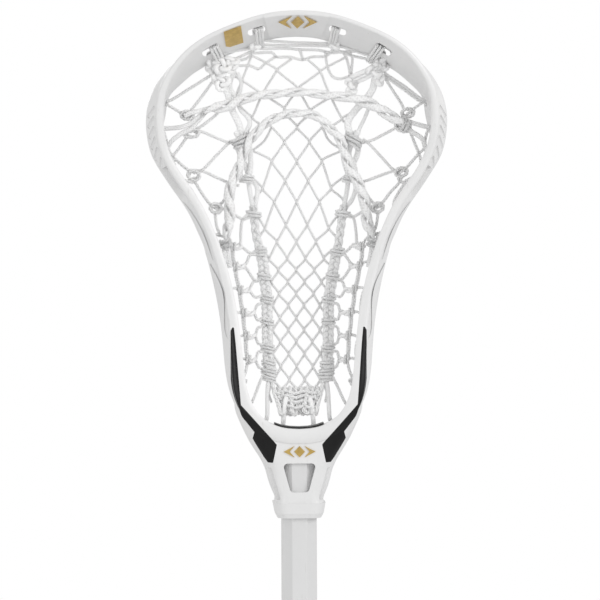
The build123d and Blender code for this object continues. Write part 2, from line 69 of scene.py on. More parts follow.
def profile(table, at):
    """The value at a place of a smooth curve through a table's points."""
    if at <= table[0][0]:
        return table[0][1]
    if at >= table[-1][0]:
        return table[-1][1]
    i = max(k for k, (x, _) in enumerate(table) if x <= at)
    (x0, v0), (x1, v1) = table[i], table[i + 1]

    def slope(k):
        if k <= 0 or k >= len(table) - 1:
            return 0.0
        left = (table[k][1] - table[k - 1][1]) / (table[k][0] - table[k - 1][0])
        right = (table[k + 1][1] - table[k][1]) / (table[k + 1][0] - table[k][0])
        return 0.0 if left * right <= 0 else 2 * left * right / (left + right)

    span = x1 - x0
    t = (at - x0) / span
    return ((2 * t**3 - 3 * t**2 + 1) * v0 + (t**3 - 2 * t**2 + t) * span * slope(i)
            + (3 * t**2 - 2 * t**3) * v1 + (t**3 - t**2) * span * slope(i + 1))


def hole_y(height):
    """How far back the walls' holes are."""
    return profile(CREST_Y, height) + profile(WALL_DEPTH, height) - HOLE_INSET


POCKET_LOW, POCKET_TALL, POCKET_DEPTH = 56.0, 244.0, 36.0


def pocket_y(w, height):
    """The pocket's surface, deepest on the middle line."""
    share = min(1.0, abs(w) / max(1.0, profile(RIM, height)))
    up = max(0.0, min(1.0, (height - POCKET_LOW) / POCKET_TALL))
    middle = 3 + 6 * up + POCKET_DEPTH * math.sin(math.pi * up**0.95)
    side = hole_y(height)
    return side + (middle - side) * (1 - share**1.6)


def at(w, height, forward=0.0):
    """A point on the pocket, or that far in front of it."""
    return Vector((w, pocket_y(w, height) - forward, HEAD_BASE + height))


def wall(side, height, outward, depth):
    """A point beside a wall: outward from its crest line and back from it. Side is -1 or 1."""
    slope = (profile(RIM, height + 1) - profile(RIM, height - 1)) / 2
    size = math.hypot(1, slope)
    return Vector((side * (profile(RIM, height) + outward / size), profile(CREST_Y, height) + depth,
                   HEAD_BASE + height - outward * slope / size))


def hole(side, height, outward=0.0):
    """A point on the axis of a wall's stringing hole."""
    return wall(side, height, outward, profile(WALL_DEPTH, height) - HOLE_INSET)


def is_hole(point):
    """Whether a route's point is a stringing hole, given by its height alone."""
    return isinstance(point, (int, float))


def scoop(side, w, outward, depth):
    """A point beside the scoop, outward from its crest line and back from it."""
    slope = (profile(SCOOP, w + 1) - profile(SCOOP, w - 1)) / 2
    size = math.hypot(1, slope)
    height = profile(SCOOP, w)
    return Vector((side * (w - outward * slope / size), profile(CREST_Y, height) + depth,
                   HEAD_BASE + height + outward / size))


# ---- lines and cords ----
def smooth(points, step=0.9, closed=False):
    """Points about a step apart on a curve through the given ones."""
    points = [Vector(p) for p in points]
    if closed:
        runs = [[points[(k + n - 1) % len(points)] for n in range(4)] for k in range(len(points))]
    else:
        ends = [2 * points[0] - points[1], *points, 2 * points[-1] - points[-2]]
        runs = [ends[k:k + 4] for k in range(len(points) - 1)]
    line = []
    for a, b, c, d in runs:
        count = max(2, math.ceil((c - b).length / step))
        knots = [0.0]
        for p, q in ((a, b), (b, c), (c, d)):
            knots.append(knots[-1] + max(0.05, (q - p).length) ** 0.5)
        t0, t1, t2, t3 = knots
        for n in range(count):
            t = t1 + (t2 - t1) * n / count
            p1 = a * ((t1 - t) / (t1 - t0)) + b * ((t - t0) / (t1 - t0))
            p2 = b * ((t2 - t) / (t2 - t1)) + c * ((t - t1) / (t2 - t1))
            p3 = c * ((t3 - t) / (t3 - t2)) + d * ((t - t2) / (t3 - t2))
            q1 = p1 * ((t2 - t) / (t2 - t0)) + p2 * ((t - t0) / (t2 - t0))
            q2 = p2 * ((t3 - t) / (t3 - t1)) + p3 * ((t - t1) / (t3 - t1))
            line.append(q1 * ((t2 - t) / (t2 - t1)) + q2 * ((t - t1) / (t2 - t1)))
    return line if closed else line + [points[-1]]


def along(points, side=1, step=0.9):
    """A smooth line through places on the pocket, each given as w, height and how far in front."""
    return smooth([at(side * w, *place) for w, *place in points], step)


def frames(line, ref=None, closed=False):
    """At each point: the tangent, and two directions square to it. The second faces ref, if given."""
    end = len(line) - 1
    rows = []
    for k in range(len(line)):
        ahead = line[(k + 1) % len(line)] if closed else line[min(k + 1, end)]
        behind = line[k - 1] if closed else line[max(k - 1, 0)]
        tangent = (ahead - behind).normalized()
        if ref is not None:
            face = ref[k] if isinstance(ref, list) else ref
        elif not rows:
            face = FRONT if abs(tangent.y) < 0.8 else Vector((0, 0, 1))
        else:
            before, _, faced = rows[-1]
            face = before.rotation_difference(tangent) @ faced
        face = (face - tangent * face.dot(tangent)).normalized()
        rows.append((tangent, tangent.cross(face), face))
    return rows


TIP_REACH, TIP_SCALE = 0.45, 0.62    # a tube's blunt end: how far it reaches, and how thick it is


def travelled(line):
    """How far along the line each of its points is."""
    far = [0.0]
    for a, b in zip(line, line[1:]):
        far.append(far[-1] + (b - a).length)
    return far


class Piece:
    """One mesh made of tubes."""

    def __init__(self):
        self.points, self.faces, self.around = [], [], []

    def tube(self, line, deep, wide=None, ref=None, sides=8, closed=False, swell=None):
        """A tube, deep being its half thickness towards ref and wide its half width; swell scales it."""
        wide = wide or deep
        square = 0.75 if wide > 1.6 * deep else 1.0
        turns = [2 * math.pi * k / sides for k in range(sides)]
        shape = [(math.copysign(abs(math.cos(a)) ** square, math.cos(a)), math.sin(a)) for a in turns]
        rows = frames(line, ref, closed)
        scales = swell or [1.0] * len(line)
        rings = [(point, across, face, scale, far)
                 for point, (_, across, face), scale, far in zip(line, rows, scales, travelled(line))]
        if not closed:
            for end, sign in ((0, -1), (-1, 1)):
                point, across, face, _, far = rings[end]
                past = sign * deep * TIP_REACH
                tip = (point + rows[end][0] * past, across, face, TIP_SCALE, far + past)
                rings = [tip, *rings] if sign < 0 else [*rings, tip]
        first = len(self.points)
        girth = 2 * math.pi * (deep + wide) / 2
        for point, across, face, scale, _ in rings:
            self.points += [point + (across * x * wide + face * y * deep) * scale for x, y in shape]
        count = len(rings)
        for k in range(count if closed else count - 1):
            a, b = first + k * sides, first + (k + 1) % count * sides
            v0 = rings[k][4] / girth
            v1 = v0 + (rings[(k + 1) % count][0] - rings[k][0]).length / girth
            for n in range(sides):
                m = (n + 1) % sides
                self.faces.append((a + n, a + m, b + m, b + n))
                u0, u1 = n / sides, (n + 1) / sides
                self.around += [(u0, v0), (u1, v0), (u1, v1), (u0, v1)]
        if not closed:
            for end, flip in ((0, True), (count - 1, False)):
                ring = [first + end * sides + n for n in range(sides)]
                self.faces.append(tuple(reversed(ring)) if flip else tuple(ring))
                self.around += [(0.5, 0.5)] * sides

    def flat(self, line, deep, wide):
        """A flat strand, facing the front."""
        self.tube(line, deep, wide, ref=FRONT, sides=10)

    def rope(self, line, radius, plies=3, pitch=None, ref=None, sides=6, closed=False, phase=0.0):
        """Round plies laid round each other."""
        length = travelled(line)[-1]
        pitch = pitch or radius * 6.4
        if closed:
            length += (line[0] - line[-1]).length
            pitch = length / max(1, round(length / pitch))
        ply = radius * (0.52 if plies == 3 else 0.56)
        rows = frames(line, ref, closed)
        for n in range(plies):
            lane = []
            for point, (_, across, face), far in zip(line, rows, travelled(line)):
                turn = phase + 2 * math.pi * (n / plies + far / pitch)
                lane.append(point + (across * math.cos(turn) + face * math.sin(turn)) * (radius - ply))
            self.tube(lane, ply, ref=ref if closed else None, sides=sides, closed=closed)

    def laces(self, line, pitch=26.0, apart=1.65, deep=1.2, wide=2.0, phase=0.0):
        """Two soft laces twisted together, looser towards the walls and drawn in at the ends."""
        rows = frames(line, FRONT)
        swell = [1.0 + LOOSER * min(1.0, abs(point.x) / LOOSE_FROM) ** 2 for point in line]
        for k in range(TAPER_POINTS):
            share = TAPER_END + (1 - TAPER_END) * k / TAPER_POINTS
            swell[k] *= share
            swell[-1 - k] *= share
        for n in range(2):
            lane, outward = [], []
            for point, (_, across, face), scale, far in zip(line, rows, swell, travelled(line)):
                turn = phase + math.pi * n + 2 * math.pi * far / pitch
                out = across * math.cos(turn) + face * math.sin(turn)
                lane.append(point + out * apart * scale)
                outward.append(out)
            self.tube(lane, deep, wide, ref=outward, sides=10, swell=swell)

    def plait(self, line, spread, rise=0.8, turn=15.0, deep=0.75, wide=1.7, phase=0.0, count=3):
        """Flat strands plaited over and under each other; spread is how far they swing to each side."""
        rows = frames(line, FRONT)
        for n in range(count):
            lane = []
            for point, (_, across, face), far in zip(line, rows, travelled(line)):
                angle = phase + 2 * math.pi * (far / turn + n / count)
                lane.append(point + across * spread * math.sin(angle) + face * rise * math.sin(2 * angle))
            self.tube(lane, deep, wide, ref=FRONT, sides=8)

    def coil(self, centre, axis, wide, deep, turns, gap, radius, start=0.0, lean=0.0):
        """A cord wound round something, in an oval as wide and deep as given."""
        axis = Vector(axis).normalized()
        face = (FRONT - axis * FRONT.dot(axis)).normalized()
        across = axis.cross(face)
        steps = math.ceil(turns * 26)
        line = []
        for k in range(steps + 1):
            turn = start + 2 * math.pi * turns * k / steps
            rise = gap * turns * (k / steps - 0.5) + lean * math.cos(turn)
            line.append(centre + across * wide * math.cos(turn) + face * deep * math.sin(turn) + axis * rise)
        self.rope(line, radius, pitch=radius * 5.5)

    def knot(self, centre, size, radius=1.0, stretch=1.0, tilt=0.0, soft=False):
        """A pulled-tight knot: a trefoil of cord, or of one soft lace."""
        turned = Quaternion(FRONT, tilt)
        line = []
        for k in range(72):
            t = 2 * math.pi * k / 72
            x = (math.sin(t) + 2 * math.sin(2 * t)) / 3 * stretch
            z = (math.cos(t) - 2 * math.cos(2 * t)) / 3
            line.append(centre + turned @ Vector((x * size, -math.sin(3 * t) * size * 0.42, z * size)))
        if soft:
            self.tube(line, radius, closed=True, sides=12)
        else:
            self.rope(line, radius, closed=True, pitch=radius * 6)

    def ring(self, centre, wide, tall, radius=1.1, tilt=0.0):
        """A small loop of cord, facing the front."""
        turned = Quaternion(FRONT, tilt)
        line = [centre + turned @ Vector((math.cos(a) * wide, math.sin(2 * a) * 0.5, math.sin(a) * tall))
                for a in [2 * math.pi * k / 40 for k in range(40)]]
        self.rope(line, radius, closed=True)

    def make(self, name, nodes, finish):
        mesh = bpy.data.meshes.new(name)
        mesh.from_pydata([p * MM for p in self.points], [], self.faces)
        layer = mesh.uv_layers.new(name="cord")
        layer.data.foreach_set("uv", [value for pair in self.around for value in pair])
        mesh.polygons.foreach_set("use_smooth", [True] * len(mesh.polygons))
        mesh.materials.append(finish)
        mesh.update()
        made = bpy.data.objects.new(name, mesh)
        bpy.context.scene.collection.objects.link(made)
        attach(made, "stick")
        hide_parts(*nodes)
        return made


# ---- finishes ----
class Finish:
    """A procedural material, built node by node."""

    def __init__(self, name, **sockets):
        self.material = bpy.data.materials.new(name)
        self.material.use_nodes = True
        self.tree = self.material.node_tree
        self.shader = self.tree.nodes["Principled BSDF"]
        self.place = self.node("ShaderNodeTexCoord").outputs["Object"]
        for socket, value in sockets.items():
            self.shader.inputs[socket.replace("_", " ")].default_value = value

    def node(self, kind, inputs=None, **settings):
        made = self.tree.nodes.new(kind)
        for key, value in settings.items():
            setattr(made, key, value)
        for key, value in (inputs or {}).items():
            if isinstance(value, bpy.types.NodeSocket):
                self.tree.links.new(value, made.inputs[key])
            else:
                made.inputs[key].default_value = value
        return made

    def noise(self, scale, detail=3.0, stretch=None):
        place = self.place
        if stretch:
            place = self.node("ShaderNodeMapping", {"Vector": place, "Scale": stretch}).outputs[0]
        inputs = {"Vector": place, "Scale": scale, "Detail": detail}
        return self.node("ShaderNodeTexNoise", inputs).outputs["Fac"]

    def cells(self, scale):
        return self.node("ShaderNodeTexVoronoi", {"Vector": self.place, "Scale": scale}).outputs["Distance"]

    def math(self, kind, a, b=0.0, c=0.0):
        return self.node("ShaderNodeMath", {0: a, 1: b, 2: c}, operation=kind).outputs[0]

    def between(self, value, low, high, from_low=0.3, from_high=0.7):
        return self.node("ShaderNodeMapRange", {"Value": value, "From Min": from_low, "From Max": from_high,
                                                "To Min": low, "To Max": high}).outputs[0]

    def colours(self, value, *stops):
        ramp = self.node("ShaderNodeValToRGB", {"Fac": value})
        while len(ramp.color_ramp.elements) < len(stops):
            ramp.color_ramp.elements.new(0.5)
        for element, (place, colour) in zip(ramp.color_ramp.elements, stops):
            element.position = place
            element.color = (*colour, 1)
        return ramp.outputs["Color"]

    def blend(self, share, a, b):
        return self.node("ShaderNodeMix", {0: share, 6: a, 7: b}, data_type="RGBA").outputs[2]

    def bump(self, height, distance, strength=1.0, under=None):
        inputs = {"Height": height, "Distance": distance, "Strength": strength}
        if under:
            inputs["Normal"] = under
        return self.node("ShaderNodeBump", inputs).outputs[0]

    def wire(self, colour, rough=None, normal=None):
        for socket, value in (("Base Color", colour), ("Roughness", rough), ("Normal", normal)):
            if value:
                self.tree.links.new(value, self.shader.inputs[socket])
        return self.material


def grey(value, warm=0.0):
    return (value * (1 + warm), value, value * (1 - warm))


def moulded_plastic():
    f = Finish("head_satin_white", Specular_IOR_Level=0.45, Coat_Weight=0.12, Coat_Roughness=0.25)
    mottle = f.colours(f.noise(18, 4), (0.35, grey(0.76)), (0.65, grey(0.8, 0.003)))
    scuffs = f.between(f.noise(900, 5, (1, 1, 0.07)), 0, 1, 0.66, 0.74)
    colour = f.blend(scuffs, mottle, (*grey(0.7, 0.01), 1))
    rough = f.math("ADD", f.between(f.noise(160, 3), 0.3, 0.42), f.math("MULTIPLY", scuffs, 0.2))
    waves = f.bump(f.noise(45, 2), 0.0004, 0.25)
    grain = f.bump(f.noise(2400, 3), 0.00006, 0.35, waves)
    return f.wire(colour, rough, grain)


def black_plastic():
    f = Finish("inlay_satin_black", Specular_IOR_Level=0.25, Coat_Weight=0.08, Coat_Roughness=0.25)
    colour = f.colours(f.noise(60, 4), (0.35, grey(0.003)), (0.7, grey(0.007)))
    rough = f.between(f.noise(300, 4), 0.26, 0.4)
    return f.wire(colour, rough, f.bump(f.math("ADD", f.noise(2600, 3), f.noise(120, 2)), 0.00008, 0.4))


def gold_print():
    f = Finish("print_gold", Metallic=0.75, Coat_Weight=0.3, Coat_Roughness=0.2)
    colour = f.colours(f.noise(260, 5), (0.3, (0.5, 0.33, 0.09)), (0.7, (0.68, 0.48, 0.15)))
    rough = f.between(f.noise(500, 4), 0.28, 0.46)
    grain = f.bump(f.noise(1800, 4, (1, 1, 6)), 0.00005, 0.5)
    return f.wire(colour, rough, grain)


def foam():
    f = Finish("pad_black_foam", Sheen_Weight=0.2)
    cells = f.cells(900)
    colour = f.colours(cells, (0.1, grey(0.006)), (0.7, grey(0.022)))
    return f.wire(colour, f.between(f.noise(200), 0.8, 0.95), f.bump(cells, 0.0003, 0.7))


def lacquer():
    f = Finish("shaft_white_lacquer", Specular_IOR_Level=0.5, Coat_Weight=0.55, Coat_Roughness=0.12)
    base = f.colours(f.noise(25, 4, (1, 1, 0.2)), (0.35, grey(0.68)), (0.65, grey(0.72)))
    scratches = f.between(f.noise(1100, 6, (1, 1, 0.04)), 0, 1, 0.67, 0.72)
    colour = f.blend(scratches, base, (*grey(0.64, 0.01), 1))
    peel = f.bump(f.noise(420, 2), 0.00012, 0.3)
    return f.wire(colour, f.between(f.noise(140, 4), 0.3, 0.44), f.bump(scratches, 0.00004, 0.4, peel))


def brushed_steel():
    f = Finish("screw_brushed_steel", Metallic=1.0)
    brushed = f.noise(3000, 5, (1, 0.05, 1))
    colour = f.colours(f.noise(700, 4), (0.3, grey(0.42)), (0.7, grey(0.6)))
    return f.wire(colour, f.between(brushed, 0.22, 0.42), f.bump(brushed, 0.00004, 0.6))


def rubber():
    f = Finish("cap_black_rubber", Sheen_Weight=0.15, Specular_IOR_Level=0.35)
    dust = f.between(f.noise(70, 6), 0, 1, 0.5, 0.75)
    colour = f.blend(dust, (*grey(0.012), 1), (*grey(0.032, 0.04), 1))
    grit = f.math("ADD", f.noise(2200, 4), f.math("MULTIPLY", f.cells(1300), 0.6))
    return f.wire(colour, f.between(f.noise(260), 0.62, 0.82), f.bump(grit, 0.00016, 0.6))


def fibre(name, low, high, yarns, slant, depth, crossed=False, sheen=0.25):
    """Twisted or braided yarn: fine lines run round the cord at a slant, and cross if it is braided."""
    f = Finish(name, Sheen_Weight=sheen, Sheen_Roughness=0.4, Specular_IOR_Level=0.3, Subsurface_Weight=0.5,
               Subsurface_Radius=(1, 1, 1), Subsurface_Scale=0.0016)
    uv = f.node("ShaderNodeSeparateXYZ", {0: f.node("ShaderNodeUVMap", uv_map="cord").outputs[0]})
    u, v = uv.outputs[0], uv.outputs[1]
    turn = 2 * math.pi

    def lines(sign):
        angle = f.math("MULTIPLY_ADD", v, sign * slant * turn, f.math("MULTIPLY", u, yarns * turn))
        return f.math("SINE", angle)

    weave = lines(1)
    if crossed:
        weave = f.math("MAXIMUM", weave, lines(-1))
    fuzz = f.noise(3500, 4)
    shade = f.math("MULTIPLY_ADD", weave, 0.22, f.noise(150, 4))
    colour = f.colours(shade, (0.2, grey(low, 0.004)), (0.62, grey(high)))
    lift = f.bump(weave, depth, 0.8)
    return f.wire(colour, f.between(f.noise(600), 0.5, 0.72), f.bump(fuzz, 0.00008, 0.45, lift))


FINISHES = {"head_plastic": moulded_plastic(), "inlay_black": black_plastic(), "gold_print": gold_print(),
            "pad_foam": foam(), "shaft_paint": lacquer(), "screw_steel": brushed_steel(),
            "cap_rubber": rubber()}
MESH_CORD = fibre("cord_net_nylon", 0.92, 0.98, 3, 2, 0.0001)
LACE_CORD = fibre("cord_string_nylon", 0.92, 0.98, 3, 2, 0.00012)
RAIL_CORD = fibre("braid_rail_nylon", 0.89, 0.97, 5, 4, 0.0002, crossed=True)
SHOOTER_CORD = fibre("braid_shooting_lace", 0.82, 0.95, 5, 4, 0.0002, crossed=True)

for part in frame["record"]["subparts"]:
    if part["material_slot"] in FINISHES:
        mesh = frame["nodes"][part["node"]].data
        mesh.materials.clear()
        mesh.materials.append(FINISHES[part["material_slot"]])


# ---- the net ----
NET_CORD, NET_PITCH = 0.92, 5.2    # the cord's half thickness, and one turn of its twist
# Each row of crossings: its height, and how far out its outermost ones are. Odd rows have crossings
# at places 1 and 3 either side of the middle, even rows at 0 and 2.
NET_ROWS = [
    (246, 0), (236.5, 8), (224, 16), (211.5, 22), (198, 14.5), (183.5, 20.5), (172.5, 12.5), (162, 17.5),
    (154.5, 11.5), (147, 16), (139.5, 11), (132, 15), (124, 10.4), (116.5, 15), (109, 10.2), (101.5, 15),
    (93.5, 10.2), (85.5, 14.6), (78.5, 10)]
CROSSING, BEHIND_RAIL = 0.7, -3.6    # how far in front a cord is at a crossing, and at a rail
# Each rail's middle line: (w, height), by side.
RAILS = {
    -1: [
     (48, 280), (45.5, 270), (41, 262), (37, 250), (34, 238), (31.5, 228), (31, 213), (27.5, 199.5),
     (26.5, 190.5), (25, 177), (22.5, 166.5), (20.5, 158), (20, 150.5), (18.5, 136.5), (18.5, 122),
     (18.5, 105.5), (18, 95), (18, 87.5)],
    1: [
     (49, 280), (47.5, 270), (44, 262), (40, 250), (37, 238), (35, 226), (35, 213.5), (32, 202),
     (30.5, 191.5), (28.5, 178), (26.5, 166), (24.5, 158), (23.5, 150), (21, 136), (20.5, 121.5), (20, 105.5),
     (19, 95), (18.5, 87)]}


def rail_w(side, height):
    """How far out a rail's middle is."""
    return profile([(h, w) for w, h in reversed(RAILS[side])], height)


NET_DRIFT = 1.2    # how far the net's upper part lies to the right
OUTER_DROP = {3: 4.5, 5: 2.0}    # how much lower these rows' outermost crossings are


def crossing(place, row):
    """Where a crossing is: place runs from -4, on the left rail, to 4, on the right one."""
    height, reach = NET_ROWS[row]
    drift = NET_DRIFT * max(0.0, min(1.0, (height - 110) / 80))
    if abs(place) == 4:
        side = 1 if place > 0 else -1
        return side * rail_w(side, height), height
    outer = max(1, row) if row < 3 else 3 if row % 2 else 2
    if abs(place) == 3:
        height -= OUTER_DROP.get(row, 0.0)
    return reach * place / outer + drift, height


def net_strand(piece, start, place, row, way):
    """One cord of the net: down and across from a start, over and under at crossings, back at a rail."""
    points = list(start)
    while row < len(NET_ROWS):
        w, height = crossing(place, row)
        if abs(place) == 4:
            points.append(at(w, height, BEHIND_RAIL))
            way = -way
        else:
            over = CROSSING if (row % 2 == 0) == (way > 0) else -CROSSING
            aside = way * 0.55
            points += [at(w - aside, height + 1.2), at(w, height, over), at(w + aside, height - 1.2)]
        place += way
        row += 1
    points.append(at(points[-1].x * 0.94, 72, 3))
    piece.rope(smooth(points, 0.8), NET_CORD, sides=5, pitch=NET_PITCH)


def net():
    """The net: eight long cords and two short ones below the arch, and the wide lattice above it."""
    piece = Piece()
    for side in (-1, 1):
        net_strand(piece, [at(side * -6.5 + 1, 253, 3)], 0, 0, side)
        net_strand(piece, [at(side * 17.5 + 1, 247.5, 4)], side, 1, -side)
        net_strand(piece, [at(side * (rail_w(side, 233) - 1), 233, -1)], side * 2, 2, -side)
        net_strand(piece, [at(side * rail_w(side, 217), 217, -2)], side * 3, 3, -side)
        short = [(16 + side, 246, 3), (21 + side, 237), (rail_w(side, 229) - 1, 229)]
        piece.rope(along(short, side), NET_CORD, sides=5, pitch=NET_PITCH)
    for route in UPPER_NET:
        piece.rope(along(route, step=0.8), NET_CORD, sides=5, pitch=NET_PITCH)
    return piece.make("pocket_net", ["centre_mesh"], MESH_CORD)


# The wide lattice above the arch: (w, height, how far in front).
UPPER_NET = [
    [(-28, 291, 1), (-20, 287), (-13, 283, 0.5), (-12, 282, 0.6), (-11, 280.8), (0.6, 271.6),
     (1.5, 270.5, 0.6), (2.2, 269), (8.6, 258), (9.5, 256.5, 0.6), (9.6, 252, 3)],
    [(-2.5, 289, 1), (-11, 283, 0), (-12, 282, -0.7), (-12.8, 280.5), (-21, 267), (-26.6, 254),
     (-27.5, 252.5, 0.5), (-26.6, 251), (-19, 245, 3)],
    [(6.5, 289, 1), (14.8, 282), (15.5, 281, 0.6), (16.2, 279.5), (21, 268), (28.6, 253), (29.5, 251.5, 0.5),
     (28.6, 250), (22, 246, 3)],
    [(31, 289.5, 1), (16.6, 282), (15.5, 281, -0.7), (14.4, 280), (2.4, 271.4), (1.5, 270.5, -0.7),
     (0.8, 269.2), (-6.3, 259.2), (-7, 258, -0.6), (-7, 252, 3)],
    [(-28, 291), (-31, 283.5), (-34, 275.5, 0.7), (-37, 268), (-38, 263)],
    [(-41, 279, 1), (-35, 276), (-34, 275.5, -0.6), (-33, 274.8), (-21.5, 267.2, -1)],
    [(-21, 267, 1), (-8, 258.8), (-7, 258, 0.6), (-6.3, 256.8), (-3.5, 252, 3)],
    [(26, 266, 1), (18.5, 262.6), (10.3, 257.3), (9.5, 256.5, -0.6), (9, 255), (6, 251, 3)],
    [(-38, 262, 1), (-33.5, 257.5, 1), (-28.4, 253.2), (-27.5, 252.5, -0.5), (-29, 250)],
    [(40, 257, 1), (35, 254.5, 1), (30.4, 252), (29.5, 251.5, -0.5), (31, 249)]]

# ---- the rails ----
# The loose upper part of each rail, as separate flat laces: (w, height, how far in front, half width).
RAIL_LACES = {
    -1: [
     [(49, 279, 3, 2.3), (46.8, 274, 2, 2.3), (43.6, 268, 2, 2.2), (41.7, 262, 2, 2.2),
      (39.8, 255.6, 2, 2), (37.2, 250.5, 2, 2), (35.3, 245.4, 2, 2), (35.5, 238, 2, 2)],
     [(38.5, 281, 2, 1.2), (41.1, 276, 1, 1.2), (41.7, 271, 1, 1.2), (38, 264.4, 1, 1.4),
      (34.7, 257, 1, 1.6), (30.2, 252, 1.5, 1.8), (29, 248.5, 2, 1.9), (32.5, 241, 2, 1.8)],
     [(37, 280, 2, 1.1), (34.7, 274.4, 1, 1.1), (34.9, 270, 1, 1.2), (37.5, 263, 1, 1.3),
      (40, 257, 1.5, 1.4)],
     [(38, 243, 3, 1.9), (34.4, 236, 3.5, 1.9), (33.5, 228, 3, 1.9), (36, 221, 2, 1.8),
      (34.5, 213, 2, 1.6)],
     [(34, 243, 0, 1.7), (37, 236, 1, 1.8), (35, 228, 0, 1.9), (31, 220, 1, 1.8), (29, 212, 2, 1.7)],
     [(31, 243, 1, 1.7), (29.5, 235, 2, 1.8), (28.5, 226, 2, 1.8), (29, 218, 3, 1.7), (31.5, 211, 2, 1.7)],
     [(30, 213, 1, 1.5), (29, 205, 1, 1.5), (27.5, 197, 1, 1.5), (27, 191, 1, 1.5)],
     [(28, 213, 0, 1.4), (24.5, 208, 0, 1.4), (24.5, 201, 0, 1.4), (26, 195, 0, 1.5), (26, 190, 0, 1.5)]],
    1: [
     [(50.8, 279, 3, 2.6), (50, 275.3, 2, 2.6), (48.9, 270.3, 2, 2.5), (46.5, 266, 2, 2.4),
      (41.5, 260.3, 2, 2.3), (37.1, 255.3, 2, 2.1), (33.4, 249, 2, 2.1), (34.1, 243.3, 2, 2),
      (37, 238, 2, 2)],
     [(47.5, 262, 1, 1.2), (46.6, 258.4, 1, 1.2), (44.2, 252, 1, 1.2), (40.5, 244, 1, 1.2),
      (38.5, 238, 2, 1.2)],
     [(33.8, 274, 1, 1.3), (35.5, 268, 0, 1.4), (39, 262, 1, 1.5), (42, 258, 1, 1.6)],
     [(40, 243, 3, 1.9), (36, 236, 3.5, 1.9), (34, 228, 3, 1.9), (37.5, 221, 2, 1.8), (38.5, 213, 2, 1.6)],
     [(37, 243, 0, 1.7), (40, 236, 1, 1.8), (39.5, 228, 0, 1.9), (35.5, 220, 1, 1.8), (33, 212, 2, 1.7)],
     [(34, 243, 1, 1.7), (31.5, 235, 2, 1.8), (31, 226, 2, 1.8), (33, 218, 3, 1.7), (35.5, 211, 2, 1.7)],
     [(34, 213, 1, 1.5), (33, 205, 1, 1.5), (31.5, 197, 1, 1.5), (31, 191, 1, 1.5)],
     [(38, 213, 0, 1.4), (38.5, 206, 0, 1.4), (36, 199, 0, 1.4), (32, 194, 0, 1.5), (31, 190, 0, 1.5)]]}
# The heights that the two plaited parts pass through.
UPPER_PLAIT = [196 - 6.4 * k for k in range(6)]
LOWER_PLAIT = [169 - 7.2 * k for k in range(12)]
RAIL_KNOT_W, RAIL_KNOT_HEIGHT = {-1: 35.0, 1: 37.4}, 238


def side_name(side):
    return "left" if side < 0 else "right"


def rail(side):
    """A rail: loose laces above, plaited below, with a knot halfway down the loose part."""
    piece = Piece()
    for lace in RAIL_LACES[side]:
        wide = sum(row[3] for row in lace) / len(lace)
        piece.flat(along([row[:3] for row in lace], side, 1.1), 0.75, wide)
    upper, lower = [along([(rail_w(side, h), h, 0.3) for h in heights], side)
                    for heights in (UPPER_PLAIT, LOWER_PLAIT)]
    piece.plait(upper, 1.35, rise=0.8, turn=17, deep=0.75, wide=1.5)
    piece.plait(lower, 1.95, rise=0.9, turn=12, deep=0.85, wide=1.75)
    for n, lean in ((0, 0.3), (1, -0.4)):
        centre = at(side * RAIL_KNOT_W[side], RAIL_KNOT_HEIGHT - 3 * n, 3.5)
        piece.coil(centre, (side * 0.5, 0, 1), wide=5.2 - n, deep=3.0, turns=1.5, gap=2.4, radius=1.2,
                   lean=lean)
    return piece.make(f"rail_{side_name(side)}", [f"runner_{side_name(side)}"], RAIL_CORD)


# ---- cross laces ----
STRING = 1.1    # half the thickness of a plain string
